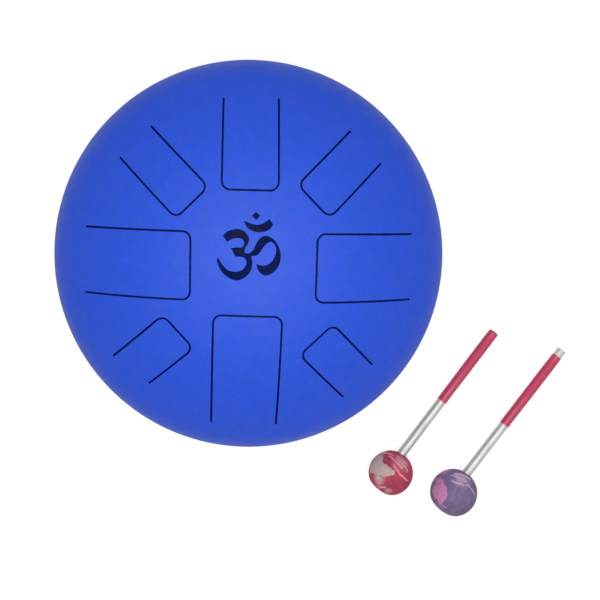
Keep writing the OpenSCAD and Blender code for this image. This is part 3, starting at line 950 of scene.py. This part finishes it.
class DRUM_OT_upper_shell(bpy.types.Operator):
    """Upper shell and its eight tongues, from one flat sheet"""

    bl_idname = "tongue_drum.upper_shell"
    bl_label = "Upper shell and tongues"

    def execute(self, context):
        drum = context.scene.drum
        coat, bare = coat_material(drum), inside_material(drum)
        step = drum.mesh_step
        openings = [tongue_outline(k, True, step / 2) for k in TONGUES]
        tongues = [tongue_outline(k, False, step / 2) for k in TONGUES]
        figure = [figure_outline(part) for part in FIGURE]
        points, faces = flat_sheet(TOP, openings + tongues + figure, step, drum.rim_points)
        middles = points[faces].mean(1)
        in_tongue = [inside(middles, outline) for outline in tongues]
        cut_out = np.any([inside(middles, outline) for outline in openings + figure], 0)

        def on_roots(a, b):
            """Which edges lie on a tongue's root, between its slits."""
            found = np.zeros(len(a), bool)
            for k in TONGUES:
                half = (TONGUE_WIDTH_SHARES[k] * DRUM_R - SLIT) / 2 + NEAR
                start, end = along_tongue(k, [(root_at(k, side), side) for side in (-half, half)])
                root = np.linalg.norm(end - start)
                way = (end - start) / root
                on = [
                    (np.abs((v - start) @ (-way[1], way[0])) < NEAR)
                    & ((v - start) @ way > 0) & ((v - start) @ way < root)
                    for v in (a, b)
                ]
                found |= on[0] & on[1]
            return found

        shell = press("upper_shell", TOP, points, faces[~cut_out], coat, bare, on_roots)
        finish_piece(shell, "drum", "drum_paint", "top_shell")
        for k in TONGUES:
            name = f"tongue_{k + 1}"
            tongue = press(name + "_coated", TOP, points, faces[in_tongue[k]], coat, bare, on_roots)
            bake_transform(tongue)
            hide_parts(name)
        return {"FINISHED"}


class DRUM_OT_lower_shell(bpy.types.Operator):
    """Lower shell, pressed like the upper one"""

    bl_idname = "tongue_drum.lower_shell"
    bl_label = "Lower shell"

    def execute(self, context):
        drum = context.scene.drum
        coat = bpy.data.materials["Powder-coated steel, blue"]
        bare = bpy.data.materials["Steel under thin blue coat, lightened as painted light"]
        turns = [QUARTER + 2 * math.pi * k / FOOT_COUNT for k in range(FOOT_COUNT)]
        places = [(FOOT_CIRCLE_R * math.cos(a), FOOT_CIRCLE_R * math.sin(a)) for a in turns]
        # Each hole has 24 points, of which the last is one step before the first
        holes = [np.array(arc(*place, SCREW_R, 0, 345, 24)) for place in places]
        points, faces = flat_sheet(BOTTOM, holes, drum.mesh_step * 1.3, drum.rim_points)
        middles = points[faces].mean(1)
        cut_out = np.any([inside(middles, outline) for outline in holes], 0)
        shell = press("lower_shell", BOTTOM, points, faces[~cut_out], coat, bare)
        finish_piece(shell, "drum", "drum_paint", "bottom_shell")
        return {"FINISHED"}


class DRUM_OT_weld(bpy.types.Operator):
    """Bead of weld along the rim"""

    bl_idname = "tongue_drum.weld"
    bl_label = "Weld"

    def execute(self, context):
        bead = place("weld_bead", [], [])
        coat = bpy.data.materials["Powder-coated steel, blue"]
        grow(bead, "Weld Bead", weld_bead_tree, {"Ripple": context.scene.drum.ripple, "Finish": coat})
        face_outwards(bead)
        smooth(bead, 60)
        finish_piece(bead, "drum", "drum_paint", "weld_seam")
        return {"FINISHED"}


def at_foot(points):
    """Moves points from a foot's own axis to the first foot's place."""
    return points + (0, FOOT_CIRCLE_R, 0)


class DRUM_OT_feet(bpy.types.Operator):
    """Rubber feet with their screws and washers"""

    bl_idname = "tongue_drum.feet"
    bl_label = "Feet"

    def at_each(self, piece, finish, angle, slot, *nodes):
        """Copies a piece to every foot, with its finish."""
        grow(piece, "Foot Circle", foot_circle_tree, {"Count": FOOT_COUNT, "Finish": finish})
        smooth(piece, angle)
        finish_piece(piece, "drum", slot, *nodes)

    def execute(self, context):
        under = HEAD_GAP + HEAD_H
        seat = under + WASHER_T
        bore = WASHER_R + RECESS_GAP
        top = BOTTOM.rise(FOOT_CIRCLE_R + FOOT_R)

        def seated(points):
            """Follows the lower shell with the foot's top face."""
            points = at_foot(points)
            shell = np.array([BOTTOM.rise(d) for d in np.hypot(points[:, 0], points[:, 1])])
            on_top = points[:, 2] > top - NEAR
            points[on_top, 2] = shell[on_top]
            points[:, 2] = np.minimum(points[:, 2], shell)
            return points

        # From the screw's hole down the recess, round the foot's floor edge, up its side and back on its top
        lean = math.degrees(math.atan2(FOOT_R - FOOT_FLOOR_R, top - FOOT_ROUND))
        deep, lip = 0.3 * MM, 0.4 * MM
        profile = [(SCREW_R, seat), (bore - deep, seat)]
        profile += arc(bore - deep, seat - deep, deep, 90, 0, 4)[1:]
        profile += arc(bore + lip, lip, lip, 180, 270, 6)
        profile += arc(FOOT_FLOOR_R - FOOT_ROUND, FOOT_ROUND, FOOT_ROUND, -90, -lean, 8)
        out, up = FOOT_R - FOOT_FLOOR_R, top - FOOT_ROUND
        profile += [(FOOT_FLOOR_R + out * t, FOOT_ROUND + up * t) for t in (0.3, 0.6, 0.8)]
        profile += [(FOOT_R + (SCREW_R - FOOT_R) * t, top) for t in (0, 0.06, 0.3, 0.6, 1)]
        feet = turned("feet", profile, 72, shape=seated)
        self.at_each(feet, rubber_material(), 30, "foot_rubber", "foot_1", "foot_2", "foot_3")

        zinc = zinc_material()
        low, high = 0.15 * MM, 0.1 * MM
        profile = [(SCREW_R, under), (WASHER_R - low, under), (WASHER_R, under + low)]
        profile += [(WASHER_R, seat - high), (WASHER_R - high, seat), (SCREW_R, seat)]
        washers = turned("foot_washers_plated", profile, 64, shape=at_foot)
        self.at_each(washers, zinc, 30, "fastener_steel", "foot_washers")

        start, tip = seat + 1 * MM, under + SCREW_L

        def threaded(points):
            """Cuts the thread into the shank and moves the screw to its place."""
            z, a = points[:, 2], np.arctan2(points[:, 1], points[:, 0])
            saw = np.abs(((z / SCREW_PITCH - a / (2 * math.pi)) % 1) * 2 - 1)
            cut = THREAD_DEPTH * np.clip(saw * 1.6 - 0.1, 0, 1) * np.clip((z - start) / SCREW_PITCH, 0, 1)
            r = np.hypot(points[:, 0], points[:, 1])
            share = np.where(r > 0, (r - cut * np.clip(r / SCREW_R, 0, 1)) / np.maximum(r, 1e-9), 1)
            points[:, :2] *= np.clip(share, 0, 1)[:, None]
            return at_foot(points)

        # From the middle of the pan head, round its edge, along the shank and to the tip
        dome = (HEAD_R**2 + HEAD_H**2 / 4) / HEAD_H
        rim = HEAD_R - 0.05 * MM
        steps = np.linspace(0, HEAD_R, 12)[:-1]
        profile = [(r, HEAD_GAP + dome - math.sqrt(dome**2 - r * r)) for r in steps]
        profile += [(rim, under - 0.35 * MM), (rim, under - high), (rim - high, under), (SCREW_R, under)]
        profile += [(SCREW_R, z) for z in np.arange(start, tip - SCREW_TIP_L, SCREW_PITCH / 8)]
        profile += [(SCREW_R * t, tip - SCREW_TIP_L * t) for t in np.linspace(1, 0, 12)]
        screws = turned("foot_screws_plated", profile, 32, shape=threaded)
        self.cut_cross(screws)
        self.at_each(screws, zinc, 40, "fastener_steel", "foot_screws")
        return {"FINISHED"}

    def cut_cross(self, screw):
        """Sinks the driver's cross into the screw's head, narrower and shorter towards its bottom."""
        box = ((0, 1, 2, 3), (4, 5, 6, 7), (0, 1, 5, 4), (1, 2, 6, 5), (2, 3, 7, 6), (3, 0, 4, 7))
        low, deep = HEAD_GAP - 0.5 * MM, HEAD_GAP + CROSS_DEPTH
        for turn in (math.pi / 4, 3 * math.pi / 4):
            c, s = math.cos(turn), math.sin(turn)
            points = []
            for z, wide, long in ((low, 1.1, 1.1), (deep, 0.6, 0.35)):
                for x, y in ((-1, -1), (1, -1), (1, 1), (-1, 1)):
                    x, y = x * CROSS_L * long, y * CROSS_W * wide
                    points.append((x * c - y * s, x * s + y * c + FOOT_CIRCLE_R, z))
            cutter = face_outwards(place("driver", points, box))
            cut = screw.modifiers.new("Cross", "BOOLEAN")
            cut.operation, cut.solver, cut.object = "DIFFERENCE", "EXACT", cutter
            settle(screw)
            bpy.data.objects.remove(cutter)
        face_outwards(screw, MERGE)


def rest_tilt(ball_r, reach, r):
    """Tilt in degrees at which a ball and a round end both touch the floor."""
    return math.degrees(math.asin(ball_r / math.hypot(reach, r)) - math.atan2(r, reach))


def on_mallet(mallet, beside=0):
    """Places a mallet's own z along its tube, from the middle of its ball or from beside it."""
    r = mallet.ball_d / 2
    ends = ((mallet.reach, TUBE_R), (mallet.reach - mallet.bare, TUBE_R + SLEEVE_WALL))
    tilt = min(rest_tilt(r, *end) for end in ends)
    return (
        Matrix.Translation((mallet.x, mallet.y, r))
        @ Matrix.Rotation(math.radians(mallet.turn), 4, "Z")
        @ Matrix.Rotation(math.radians(90 + tilt), 4, "Y")
        @ Matrix.Translation((0, beside, 0))
    )


def pipe(inner, outer, rows, soft):
    """Closed profile of a tube with softened ends and points at rows along its length."""
    low, high = rows[0], rows[-1]
    rows = [low + soft, *rows[1:-1], high - soft]
    return (
        [(inner, z) for z in reversed(rows)]
        + arc(inner + soft, low + soft, soft, 180, 270, 4)[1:]
        + arc(outer - soft, low + soft, soft, 270, 360, 4)[:-1]
        + [(outer, z) for z in rows]
        + arc(outer - soft, high - soft, soft, 0, 90, 4)[1:]
        + arc(inner + soft, high - soft, soft, 90, 180, 4)[:-1]
    )


def drawn_in(mallet):
    """The shape that draws a covered tail in towards its end, where the sleeve has shrunk round it."""

    def draw(points):
        """Draws the outer points in along a quarter round."""
        r = np.hypot(points[:, 0], points[:, 1])
        share = np.clip((points[:, 2] - mallet.reach) / TAIL_ROUND + 1, 0, 1) * (r > TUBE_R - 0.5 * MM)
        points[:, :2] *= (1 - TAIL_DRAW * (1 - np.sqrt(1 - share**2)) / np.maximum(r, TUBE_R))[:, None]
        return points

    return None if mallet.bare else draw


class DRUM_OT_mallet_tubes(bpy.types.Operator):
    """Aluminium tubes of the mallets"""

    bl_idname = "tongue_drum.mallet_tubes"
    bl_label = "Mallet tubes"

    def execute(self, context):
        settings = context.scene.mallet
        finish = aluminium_material(settings)
        for number, mallet in enumerate(MALLETS, 1):
            end = mallet.reach
            rows = [mallet.ball_d / 2 - SOCKET_L, end - TAIL_ROUND, *(end - TAIL_ROUND * TAIL_ROWS), end]
            profile = pipe(TUBE_R - TUBE_WALL, TUBE_R, rows, BARE_SOFT if mallet.bare else COVERED_SOFT)
            name, place = f"mallet_{number}_drawn_tube", on_mallet(mallet, mallet.beside)
            tube = turned(name, profile, settings.around, place, drawn_in(mallet))
            tube.data.materials.append(finish)
            finish_piece(smooth(tube), f"mallet_{number}", "tube_aluminium", f"mallet_{number}_tube")
        return {"FINISHED"}


class DRUM_OT_mallet_sleeves(bpy.types.Operator):
    """Sleeves shrunk over the tubes as grips"""

    bl_idname = "tongue_drum.mallet_sleeves"
    bl_label = "Mallet sleeves"

    def execute(self, context):
        settings = context.scene.mallet
        finish = sleeve_material(settings)
        for number, mallet in enumerate(MALLETS, 1):
            end = mallet.reach - mallet.bare
            rows = [*np.linspace(end - SLEEVE_L, end - TAIL_ROUND, 24), *(end - TAIL_ROUND * TAIL_ROWS), end]
            profile = pipe(TUBE_R, TUBE_R + SLEEVE_WALL, rows, SLEEVE_SOFT)
            name, place = f"mallet_{number}_grip", on_mallet(mallet, mallet.beside)
            sleeve = turned(name, profile, settings.around, place, drawn_in(mallet))
            z = each(sleeve.data.attributes["own"].data, "vector", 3)[:, 2]
            # Distance from the front cut, and from the tail's cut four times as fast
            from_cut = sleeve.data.attributes.new("from_cut", "FLOAT", "POINT")
            from_cut.data.foreach_set("value", np.minimum(z - end + SLEEVE_L, (end - z) * 4))
            sleeve.data.materials.append(finish)
            finish_piece(smooth(sleeve), f"mallet_{number}", "sleeve_red", f"mallet_{number}_sleeve")
        return {"FINISHED"}


class DRUM_OT_mallet_balls(bpy.types.Operator):
    """Marbled rubber balls, a little flattened at their far end"""

    bl_idname = "tongue_drum.mallet_balls"
    bl_label = "Mallet balls"

    def execute(self, context):
        for number, mallet in enumerate(MALLETS, 1):
            r = mallet.ball_d / 2
            material, slot, *marbling = BALLS[number - 1]
            nose = NOSE_R + NOSE_CUT - r
            mouth = TUBE_R + MOUTH_SOFT
            first = math.asin(mouth / r)
            profile = [(0, r - SOCKET_L), (TUBE_R, r - SOCKET_L), (TUBE_R, r * math.cos(first) - MOUTH_SOFT)]
            for a in np.linspace(math.degrees(first), 180, 72):
                c, s = math.cos(math.radians(a)), math.sin(math.radians(a))
                cut = c * nose + math.sqrt(NOSE_R**2 - (nose * s) ** 2)
                d = -NOSE_SOFT * math.log(math.exp(-r / NOSE_SOFT) + math.exp(-cut / NOSE_SOFT))
                profile.append((d * s if a < 180 else 0, d * c))

            def beside(points):
                """Moves the socket to the tube's place, and keeps its mouth on the ball."""
                d, high = np.hypot(points[:, 0], points[:, 1]), points[:, 2] > 0
                on_ball = high & (np.hypot(d, points[:, 2]) > r - SLACK)
                share = np.clip((0.85 * r - d) / (0.85 * r - mouth), 0, 1)
                in_socket = ~on_ball & (d < mouth) & (points[:, 2] > r - SOCKET_L - SLACK)
                points[:, 1] += mallet.beside * np.where(on_ball, share * share * (3 - 2 * share), in_socket)
                flat = np.hypot(points[:, 0], points[:, 1])
                points[on_ball, 2] = np.sqrt(np.maximum(r * r - flat[on_ball] ** 2, 0))
                return points

            ball = turned(f"mallet_{number}_rubber", profile, 96, on_mallet(mallet), beside)
            ball.data.materials.append(ball_material(material, r, *marbling))
            finish_piece(smooth(ball), f"mallet_{number}", slot, f"mallet_{number}_ball")
        return {"FINISHED"}


def seen_share(node):
    """One where a ray comes from the camera, a mirror or a glass, and zero where it only lights."""
    path = node("ShaderNodeLightPath").outputs
    seen = node("MAXIMUM", path["Is Camera Ray"], path["Is Glossy Ray"])
    return node("MAXIMUM", seen, path["Is Transmission Ray"])


class DRUM_OT_stage(bpy.types.Operator):
    """Floor, light and camera"""

    bl_idname = "tongue_drum.stage"
    bl_label = "Stage"

    def execute(self, context):
        scene = context.scene
        corners = [(x * FLOOR_HALF, y * FLOOR_HALF, 0) for x, y in ((-1, -1), (1, -1), (1, 1), (-1, 1))]
        floor = place("floor", corners, [(0, 1, 2, 3)])
        # What is seen of the floor is white and keeps a faint shadow, and what lights the drum is middling
        material, node = new_material("Plain pale floor")
        plain = node("ShaderNodeBsdfDiffuse", (0.6, 0.6, 0.6))
        white = node("ShaderNodeEmission", (1, 1, 1), 0.85)
        white = node("ShaderNodeAddShader", white, node("ShaderNodeBsdfDiffuse", (0.3, 0.3, 0.3)))
        shown = node("ShaderNodeMixShader", seen_share(node), plain, white)
        fill(material.node_tree, material.node_tree.nodes["Material Output"], {"Surface": shown})
        floor.data.materials.append(material)

        scene.world = bpy.data.worlds.new("Studio")
        scene.world.use_nodes = True
        tree = scene.world.node_tree
        strength = add(tree, RANGE, seen_share(partial(add, tree)), 0.0, 1.0, 0.3, 0.95)
        fill(tree, tree.nodes["Background"], (1, 1, 1), strength)

        lamp = bpy.data.objects.new("lamp", bpy.data.lights.new("lamp", "AREA"))
        lamp.data.shape, lamp.data.size, lamp.data.energy = "DISK", LAMP_D, LAMP_POWER
        lamp.location = LAMP_AT
        lamp.rotation_mode = "QUATERNION"
        lamp.rotation_quaternion = (Vector(LAMP_AIM) - lamp.location).to_track_quat("-Z", "Y")
        scene.collection.objects.link(lamp)

        data = bpy.data.cameras.new("camera")
        scene.camera = bpy.data.objects.new("camera", data)
        scene.collection.objects.link(scene.camera)
        data.sensor_width, data.lens = SENSOR_W, SENSOR_W * CAMERA_FOCUS
        data.clip_start, data.clip_end = 0.01, 100
        back = -Vector(CAMERA_ALONG).normalized()
        right = Vector(CAMERA_UP).cross(back).normalized()
        turn = Matrix((right, back.cross(right), back)).transposed().to_4x4()
        scene.camera.matrix_world = Matrix.Translation(CAMERA_AT) @ turn
        scene.view_settings.view_transform = "Standard"
        return {"FINISHED"}


class DRUM_PT_panel(bpy.types.Panel):
    """Sizes, finishes and pieces of the drum and its mallets"""

    bl_label = "Steel Tongue Drum"
    bl_space_type = "VIEW_3D"
    bl_region_type = "UI"
    bl_category = "Drum"

    def draw(self, context):
        for title, group in (("Drum", context.scene.drum), ("Mallets", context.scene.mallet)):
            column = self.layout.column(heading=title)
            for name in group.__annotations__:
                column.prop(group, name)
        for operator in OPERATORS:
            self.layout.operator(operator.bl_idname)


OPERATORS = (
    DRUM_OT_stage, DRUM_OT_upper_shell, DRUM_OT_lower_shell, DRUM_OT_weld, DRUM_OT_feet,
    DRUM_OT_mallet_tubes, DRUM_OT_mallet_sleeves, DRUM_OT_mallet_balls,
)
CLASSES = (DrumSettings, MalletSettings, *OPERATORS, DRUM_PT_panel)


def register():
    for c in CLASSES:
        bpy.utils.register_class(c)
    bpy.types.Scene.drum = PointerProperty(type=DrumSettings)
    bpy.types.Scene.mallet = PointerProperty(type=MalletSettings)


def unregister():
    del bpy.types.Scene.drum
    del bpy.types.Scene.mallet
    for c in reversed(CLASSES):
        bpy.utils.unregister_class(c)


def main():
    register()
    bpy.ops.tongue_drum.stage()
    bpy.ops.tongue_drum.upper_shell()
    bpy.ops.tongue_drum.lower_shell()
    bpy.ops.tongue_drum.weld()
    bpy.ops.tongue_drum.feet()
    bpy.ops.tongue_drum.mallet_tubes()
    bpy.ops.tongue_drum.mallet_sleeves()
    bpy.ops.tongue_drum.mallet_balls()


if __name__ == "__main__":
    main()
